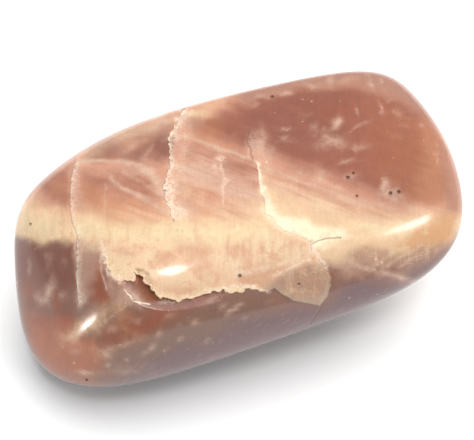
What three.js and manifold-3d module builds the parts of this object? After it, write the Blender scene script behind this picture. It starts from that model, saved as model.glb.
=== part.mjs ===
// A tumble-polished moonstone: one natural piece of peach feldspar, ground round and polished all over.
// Millimetres, +Z up. The length lies along X, the long low side that shows the chips faces -Y, and the
// stone rests on a small worn flat at z = 0, under the middle of its length and width.

import * as THREE from 'three';
import { mergeVertices } from 'three/addons/utils/BufferGeometryUtils.js';
import Module from 'manifold-3d';

// ---------------------------------------------------------------- driving dimensions

// The heart is the point inside the stone from which every worn face is measured.
const HEART = new THREE.Vector3(0.41, 0.34, 8.2);

// Worn faces: compass direction in degrees (0 = +X, 90 = +Y), tilt above the level in degrees,
// and distance from the heart.
const WORN_FACES = {
  top: [115, 85, 4.8],
  top_front: [-91, 61, 6.4],
  top_back: [112, 55, 8.7],
  top_left: [201, 41, 11.2],
  front: [-95, 19, 8.9],
  front_left: [242, 14, 13.2],
  left: [177, 13, 17.9],
  back_left: [123, 5, 17.8],
  back: [80, -5, 8.5],
  back_right: [28, 21, 17.1],
  right: [-6, 11, 16.6],
  low_front: [-89, -44, 9.0],
  low_right: [-32, -41, 12.6],
  low_back: [110, -43, 8.0],
  low_left: [215, -47, 16.1],
  bottom: [0, -90, 8.4],
};

// How sharply one worn face turns into the next: higher is crisper, 2 would be an egg.
const TURN = 8.5;

// Facets along the length, the width and the height of the block that is tumbled round.
const BLOCK = { length: 34, width: 19, height: 13.5 };
const FACETS = { length: 40, width: 22, height: 16 };
const WELD = 0.0001;

// The chips and cracks are drawn on one plane that looks down on the top and the front side together.
// Its points are [right, up] from the heart, and they drop straight onto the stone.
const DRAWING_COMPASS = -23;
const DRAWING_TILT = 56;
const DRAWING_REACH = 16;
const DROP_PRECISION = 0.001;

// The broken edge of the cream layer, from the small left lobe round the notch to the right corner.
const LAYER_EDGE = [
  [-8.5, -4.1], [-8.1, -4.4], [-7.4, -4.4], [-6.9, -4.4], [-6.8, -4.2], [-7.7, -3.5], [-6.7, -3.9],
  [-6.2, -4.1], [-6.1, -4.6], [-5.8, -4.9], [-5.5, -5.6], [-5.1, -5.7], [-4.6, -5.6], [-3.9, -5.8],
  [-2.9, -5.7], [-1.8, -5.3], [-0.9, -5.0],
];
const LAYER_CHIP_END = [[-1.2, -6.8], [-8.2, -6.8]];
const LAYER_CHIP_FLOOR = { compass: -96, tilt: 68, distance: 5.2 };

// The edge of the tongue, a flake that laps over the front side.
const TONGUE_EDGE = [
  [1.9, -5.2], [2.6, -5.0], [3.1, -5.4], [4.0, -5.9], [4.6, -6.0], [5.8, -6.3], [6.3, -5.7],
  [6.6, -4.7], [6.5, -3.8], [6.0, -3.3],
];
const TONGUE_CHIP_END = [[7.6, -3.3], [8.0, -5.6], [6.6, -8.0], [1.9, -8.0]];
const TONGUE_CHIP_FLOOR = { compass: -94, tilt: 34, distance: 7.86 };

// Open cracks that break the polish, each a run of points with the width of its groove.
const CRACKS = {
  left: { width: 0.2, run: [[-11.7, 4.0], [-11.9, 2.7], [-11.8, 1.0], [-11.1, -1.4], [-11.1, -2.6]] },
  middle: {
    width: 0.34,
    run: [[-3.8, 7.8], [-4.5, 6.9], [-4.9, 5.5], [-4.7, 3.5], [-5.0, 1.2], [-4.4, -0.3]],
  },
  right: { width: 0.28, run: [[0.8, 5.7], [1.5, 2.8], [2.0, 0.1], [3.2, -0.9], [5.1, -2.0]] },
  low: { width: 0.24, run: [[5.9, -6.5], [5.6, -6.9], [5.1, -7.7]] },
};
const CRACK_STEP = 0.9;
const CRACK_SIDES = 6;

// Pits left where grains fell out: [right, up, radius].
const PITS = [
  [-14.7, -0.6, 0.24], [2.6, 8.8, 0.2], [7.8, 2.7, 0.22], [8.2, 3.0, 0.18], [8.4, 1.4, 0.26],
  [10.8, 1.6, 0.28], [11.4, 1.7, 0.22], [0.2, -4.1, 0.18], [4.3, -4.7, 0.2],
];

// ---------------------------------------------------------------- the tumbled form

const direction = (compass, tilt) => new THREE.Vector3(
  Math.cos(THREE.MathUtils.degToRad(tilt)) * Math.cos(THREE.MathUtils.degToRad(compass)),
  Math.cos(THREE.MathUtils.degToRad(tilt)) * Math.sin(THREE.MathUtils.degToRad(compass)),
  Math.sin(THREE.MathUtils.degToRad(tilt)),
);

const wornFaces = Object.values(WORN_FACES).map(([compass, tilt, distance]) => (
  { normal: direction(compass, tilt), distance }
));

// 1 on the surface, less inside the stone, for a point measured from the heart.
function depthMeasure(point) {
  let sum = 0;
  for (const face of wornFaces) {
    sum += Math.max(0, face.normal.dot(point) / face.distance) ** TURN;
  }
  return sum ** (1 / TURN);
}

// A block whose skin is drawn in along lines to the heart until it lies on the worn faces.
function tumbledBlock() {
  const geometry = new THREE.BoxGeometry(
    BLOCK.length, BLOCK.width, BLOCK.height, FACETS.length, FACETS.width, FACETS.height,
  );
  const corners = geometry.getAttribute('position');
  const point = new THREE.Vector3();
  for (let i = 0; i < corners.count; i += 1) {
    point.fromBufferAttribute(corners, i);
    point.divideScalar(depthMeasure(point)).add(HEART);
    corners.setXYZ(i, point.x, point.y, point.z);
  }
  return geometry;
}

// ---------------------------------------------------------------- the drawing plane

const drawingOut = direction(DRAWING_COMPASS - 90, DRAWING_TILT);
const drawingRight = direction(DRAWING_COMPASS, 0);
const drawingUp = new THREE.Vector3().crossVectors(drawingOut, drawingRight);

// The place on the polished skin that lies straight under a point of the drawing.
function dropOnStone([right, up]) {
  const foot = drawingRight.clone().multiplyScalar(right).addScaledVector(drawingUp, up);
  let inside = 0;
  let outside = DRAWING_REACH;
  while (outside - inside > DROP_PRECISION) {
    const middle = (inside + outside) / 2;
    if (depthMeasure(foot.clone().addScaledVector(drawingOut, middle)) < 1) {
      inside = middle;
    } else {
      outside = middle;
    }
  }
  return foot.addScaledVector(drawingOut, outside).add(HEART);
}

// ---------------------------------------------------------------- cutting tools

const manifold = await Module();
manifold.setup();

function solid(geometry) {
  const bare = geometry.clone();
  bare.deleteAttribute('normal');
  bare.deleteAttribute('uv');
  const merged = mergeVertices(bare, WELD);
  return new manifold.Manifold(new manifold.Mesh({
    numProp: 3,
    vertProperties: new Float32Array(merged.getAttribute('position').array),
    triVerts: new Uint32Array(merged.index.array),
  }));
}

// A chip: everything inside the drawn outline that stands above the flat floor of the break.
function chip(outline, floor) {
  const shape = new THREE.Shape(outline.map(([right, up]) => new THREE.Vector2(right, up)));
  const column = new THREE.ExtrudeGeometry(shape, { depth: DRAWING_REACH, bevelEnabled: false });
  const onThePlane = new THREE.Matrix4().makeBasis(drawingRight, drawingUp, drawingOut);
  column.applyMatrix4(onThePlane.setPosition(HEART));
  const floorOut = direction(floor.compass, floor.tilt);
  const above = new THREE.BoxGeometry(2 * DRAWING_REACH, 2 * DRAWING_REACH, DRAWING_REACH);
  above.translate(0, 0, DRAWING_REACH / 2 + floor.distance);
  above.applyQuaternion(new THREE.Quaternion().setFromUnitVectors(new THREE.Vector3(0, 0, 1), floorOut));
  above.translate(HEART.x, HEART.y, HEART.z);
  return solid(column).intersect(solid(above));
}

// A groove: a thin rod laid along the crack with half of it under the skin.
function groove({ width, run }) {
  const track = new THREE.Path(run.map(([right, up]) => new THREE.Vector2(right, up)));
  const stops = Math.ceil(track.getLength() / CRACK_STEP);
  const places = track.getSpacedPoints(stops).map((stop) => dropOnStone([stop.x, stop.y]));
  const line = new THREE.CatmullRomCurve3(places);
  const section = new THREE.Shape();
  section.absarc(0, 0, width / 2, 0, 2 * Math.PI);
  return solid(new THREE.ExtrudeGeometry(section, {
    steps: stops,
    curveSegments: CRACK_SIDES,
    extrudePath: line,
    bevelEnabled: false,
  }));
}

function pit([right, up, radius]) {
  const place = dropOnStone([right, up]);
  return solid(new THREE.IcosahedronGeometry(radius).translate(place.x, place.y, place.z));
}

function restingCut() {
  const under = new THREE.BoxGeometry(2 * BLOCK.length, 2 * BLOCK.width, BLOCK.height);
  under.translate(0, 0, -BLOCK.height / 2);
  return solid(under);
}

// ---------------------------------------------------------------- the stone

const cuts = [
  restingCut(),
  chip([...LAYER_EDGE, ...LAYER_CHIP_END], LAYER_CHIP_FLOOR),
  chip([...TONGUE_EDGE, ...TONGUE_CHIP_END], TONGUE_CHIP_FLOOR),
  ...Object.values(CRACKS).map(groove),
  ...PITS.map(pit),
];

const stone = cuts.reduce((body, cut) => body.subtract(cut), solid(tumbledBlock()));

const { vertProperties, triVerts } = stone.getMesh();
const geometry = new THREE.BufferGeometry();
geometry.setAttribute('position', new THREE.BufferAttribute(vertProperties, 3));
geometry.setIndex(new THREE.BufferAttribute(triVerts, 1));
geometry.computeVertexNormals();

const peachFeldspar = new THREE.MeshStandardMaterial({ color: 0xc08468, roughness: 0.15, metalness: 0 });
const moonstone = new THREE.Mesh(geometry, peachFeldspar);
moonstone.name = 'moonstone';

const model = new THREE.Group();
model.add(moonstone);

export default model;
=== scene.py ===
import math

import bpy
import numpy as np
from mathutils import Matrix, Vector


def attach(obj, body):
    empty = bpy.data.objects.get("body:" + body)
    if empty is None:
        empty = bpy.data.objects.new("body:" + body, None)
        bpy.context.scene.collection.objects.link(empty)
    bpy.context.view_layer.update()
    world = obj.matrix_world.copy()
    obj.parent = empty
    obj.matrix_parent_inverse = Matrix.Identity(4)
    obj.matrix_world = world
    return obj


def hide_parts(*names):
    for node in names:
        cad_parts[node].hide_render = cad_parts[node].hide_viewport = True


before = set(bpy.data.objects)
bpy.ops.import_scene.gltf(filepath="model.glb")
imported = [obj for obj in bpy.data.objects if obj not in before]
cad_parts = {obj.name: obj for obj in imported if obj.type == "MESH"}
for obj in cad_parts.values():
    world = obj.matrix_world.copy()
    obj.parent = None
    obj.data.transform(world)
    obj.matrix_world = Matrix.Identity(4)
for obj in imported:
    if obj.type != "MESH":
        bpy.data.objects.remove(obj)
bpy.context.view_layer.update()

# ---------------------------------------------------------------- the block, tumbled round
# The moonstone is one piece of peach feldspar. A tumbler ground its sides nearly flat and its turns round,
# and left a high polish. It starts as a plain block of small cells, whose skin is drawn in along lines to the
# heart of the stone until it lies on the worn faces.

MM = 0.001
HEART = np.array([0.41, 0.34, 8.2])

# Worn faces: compass direction in degrees (0 = +X, 90 = +Y), tilt above the level in degrees, and distance
# from the heart in mm.
WORN_FACES = {
    "top": (115, 85, 4.8),
    "top_front": (-91, 61, 6.4),
    "top_back": (112, 55, 8.7),
    "top_left": (201, 41, 11.2),
    "front": (-95, 19, 8.9),
    "front_left": (242, 14, 13.2),
    "left": (177, 13, 17.9),
    "back_left": (123, 5, 17.8),
    "back": (80, -5, 8.5),
    "back_right": (28, 21, 17.1),
    "right": (-6, 11, 16.6),
    "low_front": (-89, -44, 9.0),
    "low_right": (-32, -41, 12.6),
    "low_back": (110, -43, 8.0),
    "low_left": (215, -47, 16.1),
    "bottom": (0, -90, 8.4),
}
# How sharply one worn face turns into the next: higher is crisper.
TURN = 8.5
BLOCK = (34.0, 19.0, 13.5)
CELLS = (68, 38, 27)


def direction(compass, tilt):
    """A unit arrow that points to a compass direction, tilted above the level."""
    flat = math.cos(math.radians(tilt))
    across = math.radians(compass)
    return np.array([flat * math.cos(across), flat * math.sin(across), math.sin(math.radians(tilt))])


worn_out = np.array([direction(compass, tilt) for compass, tilt, _ in WORN_FACES.values()])
worn_distance = np.array([distance for _, _, distance in WORN_FACES.values()])


def depth_measure(points):
    """1 on the polished skin and less inside it, for points measured from the heart."""
    lean = np.maximum(points @ worn_out.T / worn_distance, 0.0)
    return (lean ** TURN).sum(axis=1) ** (1.0 / TURN)


def skin_out(points):
    """Which way the polished skin faces at points on it."""
    lean = np.maximum(points @ worn_out.T / worn_distance, 0.0)
    slope = (lean ** (TURN - 1.0) / worn_distance) @ worn_out
    return slope / np.linalg.norm(slope, axis=1, keepdims=True)


def read_points():
    """The stone's corners, in mm from the heart."""
    flat = np.empty(len(stone.data.vertices) * 3, np.float32)
    stone.data.vertices.foreach_get("co", flat)
    return flat.reshape(-1, 3).astype(float) / MM - HEART


def read_centres():
    """The middles of the stone's faces, in mm from the heart."""
    flat = np.empty(len(stone.data.polygons) * 3, np.float32)
    stone.data.polygons.foreach_get("center", flat)
    return flat.reshape(-1, 3).astype(float) / MM - HEART


def write_points(points):
    stone.data.vertices.foreach_set("co", ((points + HEART) * MM).astype(np.float32).ravel())
    stone.data.update()


def divide(kind, chosen, cuts):
    """Divides the chosen edges or faces of the stone in edit mode."""
    tool = bpy.context.scene.tool_settings
    tool.mesh_select_mode = (False, kind == "edges", kind == "polygons")
    for elements in (stone.data.vertices, stone.data.edges, stone.data.polygons):
        elements.foreach_set("select", np.zeros(len(elements), bool))
    getattr(stone.data, kind).foreach_set("select", chosen)
    bpy.ops.object.mode_set(mode="EDIT")
    bpy.ops.mesh.subdivide(number_cuts=cuts, ngon=False)
    bpy.ops.object.mode_set(mode="OBJECT")


bpy.ops.object.select_all(action="DESELECT")
bpy.ops.mesh.primitive_cube_add(size=1.0, location=(0.0, 0.0, 0.0))
stone = bpy.context.object
stone.name = "tumbled_moonstone"
stone.scale = [side * MM for side in BLOCK]
bpy.ops.object.transform_apply(location=False, rotation=False, scale=True)
# The middle of the block lies at the heart.
write_points(read_points() + HEART)

for axis, cells in enumerate(CELLS):
    ends = np.empty(len(stone.data.edges) * 2, np.int32)
    stone.data.edges.foreach_get("vertices", ends)
    corners = read_points()
    run = np.abs(corners[ends[0::2]] - corners[ends[1::2]])
    divide("edges", run[:, axis] > run.sum(axis=1) / 2.0, cells - 1)
divide("polygons", np.ones(len(stone.data.polygons), bool), 1)


def tumble():
    """Draws the skin onto the worn faces."""
    points = read_points()
    points /= depth_measure(points)[:, None]
    write_points(points)


tumble()

# ---------------------------------------------------------------- edge, tongue, cracks and pits
# The cream layer on top broke away along a jagged edge and left a shallow trough, and a tongue-shaped flake
# laps over the front side. Old cracks run down the stone, and there are pin holes where grains fell out.
# All are drawn on a plane that looks down on the top and the front side together: (right, up) in mm.

DRAWING_COMPASS = -23.0
DRAWING_TILT = 56.0

LAYER_LEFT = [(-9.2, -1.0), (-9.2, -2.5), (-8.9, -3.1)]
LAYER_EDGE = [
    (-8.5, -4.1), (-8.1, -4.4), (-7.4, -4.4), (-6.9, -4.4), (-6.8, -4.2), (-6.95, -3.8), (-6.7, -3.9),
    (-6.2, -4.1), (-6.1, -4.6), (-5.8, -4.9), (-5.5, -5.6), (-5.1, -5.7), (-4.6, -5.6), (-3.9, -5.8),
    (-2.9, -5.7), (-1.8, -5.3), (-0.9, -5.0),
]
LAYER_MIDDLE = [(-0.8, -5.2), (0.3, -5.1), (1.4, -5.1)]
LAYER_CHIP_END = [(-1.2, -6.8), (-8.2, -6.8)]
# The flat floor of the break: compass, tilt and distance from the heart.
LAYER_CHIP_FLOOR = (-96, 68, 5.2)
TROUGH_FOOT = [
    (-0.9, -5.7), (-2.1, -6.0), (-2.9, -6.2), (-3.9, -6.4), (-5.1, -6.3), (-5.9, -6.0), (-6.5, -6.0),
    (-7.0, -5.7), (-7.5, -5.1), (-7.9, -4.9), (-8.4, -5.1), (-9.0, -4.7), (-9.3, -4.1),
]

TONGUE_EDGE = [
    (1.9, -5.2), (2.6, -5.0), (3.1, -5.4), (4.0, -5.9), (4.6, -6.0), (5.8, -6.3), (6.3, -5.7),
    (6.6, -4.7), (6.5, -3.8), (6.0, -3.3),
]
TONGUE_TOP = [(5.2, -2.3), (5.2, -1.0)]
TONGUE_LEDGE = 0.07
TONGUE_LEDGE_RUN = 0.9

CRACKS = {
    "left": [(-11.7, 4.0), (-11.9, 2.7), (-11.8, 1.0), (-11.5, -0.5), (-11.1, -1.4), (-11.1, -4.3),
             (-11.0, -6.0)],
    "middle": [(-3.8, 7.8), (-4.5, 6.9), (-4.9, 5.5), (-4.8, 4.3), (-4.7, 3.5), (-5.0, 3.0), (-4.9, 1.9),
               (-5.0, 1.2), (-4.6, 0.3), (-4.4, -0.3)],
    "right": [(0.8, 6.0), (0.7, 5.3), (1.1, 4.6), (1.5, 2.8), (2.0, 0.1), (2.4, -0.1), (3.2, -0.9),
              (4.2, -1.3), (5.0, -1.7), (5.1, -2.3)],
    "low": [(6.0, -6.2), (5.6, -6.9), (5.3, -7.4), (5.1, -7.9)],
    "hook": [(5.1, -2.0), (5.5, -1.8), (6.3, -1.6), (7.2, -1.5)],
}
# How much each crack wavers with the grain.
CRACK_JAGS = {"left": 0.15, "middle": 1.3, "right": 0.8, "low": 0.5, "hook": 0.4}
GROOVE_WIDTH = 0.09
GROOVE_DEPTH = 0.04

# Pits: right, up, radius.
PITS = [
    (-14.7, -0.6, 0.10), (2.6, 8.8, 0.12), (7.8, 2.7, 0.13), (8.2, 3.0, 0.10), (8.4, 1.4, 0.09),
    (10.8, 1.6, 0.13), (11.4, 1.7, 0.13), (0.2, -4.1, 0.13), (4.3, -4.7, 0.09), (-10.6, -11.6, 0.1),
]
# How deep a pit is, in radii.
PIT_DEPTH = 1.2

# Jags of a broken edge: their size and how far they push, in mm.
JAGS = [(1.10, 0.12), (0.40, 0.10), (0.20, 0.09)]
# The tongue's edge is smooth low down: the share of its jags lost there, and where they fade, right and up.
TONGUE_CALM = 0.75
CALM_RIGHT = (1.5, 3.0)
CALM_UP = (-4.3, -5.0)
# Cells near a drawn line are divided again and again, each time closer by, and a little wider round a pit.
FINE_REACHES = (0.34, 0.22, 0.10)
PIT_MARGIN = 0.05
# The relief fades where the skin turns away from the drawing plane.
RELIEF_FADE = (0.0, 0.2)
# Random pushes at the corners of a grid, which repeats past its end.
SWING_SEED = 7
SWING_CELLS = 61
SWINGS = np.random.default_rng(SWING_SEED).uniform(-1.0, 1.0, (SWING_CELLS, SWING_CELLS, 2))

drawing_out = direction(DRAWING_COMPASS - 90.0, DRAWING_TILT)
drawing_right = direction(DRAWING_COMPASS, 0.0)
drawing_up = np.cross(drawing_out, drawing_right)
layer_outline = LAYER_LEFT + LAYER_EDGE + LAYER_MIDDLE + TONGUE_EDGE + TONGUE_TOP


def drawn(points):
    """The place of each point on the drawing plane."""
    return np.stack([points @ drawing_right, points @ drawing_up], axis=1)


def wander(spots, size):
    """A smooth random push for each spot, which swings about once in each size."""
    cell = np.floor(spots / size).astype(int)
    share = spots / size - cell
    share = share * share * (3.0 - 2.0 * share)
    corners = [SWINGS[(cell[:, 0] + right) % SWING_CELLS, (cell[:, 1] + up) % SWING_CELLS]
               for right, up in ((0, 0), (1, 0), (0, 1), (1, 1))]
    low = corners[0] + share[:, :1] * (corners[1] - corners[0])
    high = corners[2] + share[:, :1] * (corners[3] - corners[2])
    return low + share[:, 1:] * (high - low)


def grained(spots, sizes):
    """Spots nudged by grain of a few sizes, so that what is drawn on them runs along it."""
    return spots + sum(reach * wander(spots, size) for size, reach in sizes)


def inside(spots, outline):
    """Which spots lie inside a closed outline."""
    held = np.zeros(len(spots), bool)
    for (ax, ay), (bx, by) in zip(outline, outline[1:] + outline[:1]):
        if ay != by:
            between = (ay > spots[:, 1]) != (by > spots[:, 1])
            held ^= between & (spots[:, 0] < (bx - ax) * (spots[:, 1] - ay) / (by - ay) + ax)
    return held


def distance_to(spots, run):
    """How far spots lie from a run of straight lines."""
    nearest = np.full(len(spots), np.inf)
    for start, end in zip(np.array(run[:-1]), np.array(run[1:])):
        along = end - start
        share = np.clip((spots - start) @ along / (along @ along), 0.0, 1.0)
        gap = np.linalg.norm(spots - start - share[:, None] * along, axis=1)
        nearest = np.minimum(nearest, gap)
    return nearest


def rise(values, low, high):
    """0 below low, 1 above high, and a soft step between."""
    share = np.clip((values - low) / (high - low), 0.0, 1.0)
    return share * share * (3.0 - 2.0 * share)


def jagged(spots):
    """Spots moved about finely, so that an edge drawn on them breaks off in jags."""
    calm = TONGUE_CALM * rise(spots[:, 0], *CALM_RIGHT) * rise(-spots[:, 1], -CALM_UP[0], -CALM_UP[1])
    return spots + (1.0 - calm[:, None]) * (grained(spots, JAGS) - spots)


fine_lines = [layer_outline[1:-1], TROUGH_FOOT, *CRACKS.values()]
for reach in FINE_REACHES:
    centres = read_centres()
    spots = jagged(drawn(centres))
    close = np.min([distance_to(spots, run) for run in fine_lines], axis=0) < reach
    pitted = np.min([np.hypot(*(drawn(centres) - pit[:2]).T) for pit in PITS], axis=0) < reach + PIT_MARGIN
    divide("polygons", (close | pitted) & (skin_out(centres) @ drawing_out > 0.0), 1)
tumble()

points = read_points()
facing = skin_out(points) @ drawing_out
near = facing > 0.0
smooth_spots = drawn(points)
spots = jagged(smooth_spots)


def chip(points, outline, floor):
    """Sinks what stands above the flat floor of a break, inside its outline, straight into the drawing."""
    floor_out = direction(*floor[:2])
    above = points @ floor_out - floor[2]
    gone = inside(spots, outline) & near & (above > 0.0)
    sink = np.where(gone, above / (drawing_out @ floor_out), 0.0)
    return points - sink[:, None] * drawing_out


on_layer = inside(spots, layer_outline)
crack_gap = np.min([distance_to(smooth_spots + CRACK_JAGS[name] * (spots - smooth_spots), run)
                    for name, run in CRACKS.items()], axis=0)
tongue_gap = distance_to(spots, TONGUE_EDGE)

points = chip(points, LAYER_EDGE + LAYER_CHIP_END, LAYER_CHIP_FLOOR)
sink = np.where(on_layer, 0.0, TONGUE_LEDGE * np.exp(-tongue_gap / TONGUE_LEDGE_RUN))
sink += GROOVE_DEPTH * np.exp(-((crack_gap / GROOVE_WIDTH) ** 2))
for right, up, radius in PITS:
    gap = np.hypot(*(smooth_spots - (right, up)).T)
    sink += PIT_DEPTH * radius * np.sqrt(np.clip(1.0 - (gap / radius) ** 2, 0.0, 1.0))
points -= (sink * rise(facing, *RELIEF_FADE))[:, None] * drawing_out
points[:, 2] = np.maximum(points[:, 2], -HEART[2])
write_points(points)
bpy.ops.object.shade_smooth()

# ---------------------------------------------------------------- the zones of colour
# Feldspar grows in layers, and the colour follows them: rust where iron stained it, a cream band of painted
# sheen, where light glows back from the layers inside, and mauve under the broken layer. Each zone is laid on
# the skin as an amount from 0 to 1, for the material to read.

# The lower edge of the cream band of painted sheen, and how softly it ends there: (right, up, softness).
BAND_FOOT = [
    (-16.3, -1.6, 0.30), (-15.6, -1.6, 0.30), (-15.0, -1.7, 0.30), (-14.6, -2.0, 0.44),
    (-14.1, -2.1, 0.44), (-13.7, -2.1, 0.37), (-13.1, -1.8, 0.30), (-12.5, -1.6, 0.30),
    (-12.0, -1.8, 0.37), (-11.6, -2.0, 0.44), (-11.0, -2.1, 0.44), (-10.3, -2.2, 0.59), (-8.4, -2.5, 0.67),
    (-8.3, -1.3, 0.22), (4.7, -1.2, 0.22), (5.2, -2.9, 0.37), (6.6, -3.3, 0.59), (7.5, -3.3, 0.67),
    (8.5, -2.9, 0.74), (10.0, -2.9, 0.74), (11.5, -2.9, 0.67), (13.3, -2.5, 0.59), (14.8, -1.9, 0.52),
    (16.7, -0.9, 0.52),
]
# Its upper edge.
BAND_HEAD = [
    (-16.3, 1.0, 0.96), (-14.9, 1.1, 0.89), (-13.2, 0.6, 0.89), (-11.8, 0.1, 1.11), (-10.8, 0.1, 1.33),
    (-8.5, -0.1, 1.48), (-6.4, -0.2, 1.63), (-4.0, -0.2, 1.70), (-2.2, -0.3, 1.63), (-1.0, 0.2, 1.63),
    (0.4, 0.7, 1.56), (1.6, 1.1, 1.19), (1.9, 2.4, 1.63), (4.4, 1.5, 1.63), (6.5, 1.0, 1.48),
    (8.0, 0.6, 1.33), (9.0, 0.4, 1.26), (11.8, 0.1, 1.04), (13.9, 0.0, 0.89), (16.8, -0.3, 0.89),
]

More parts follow.
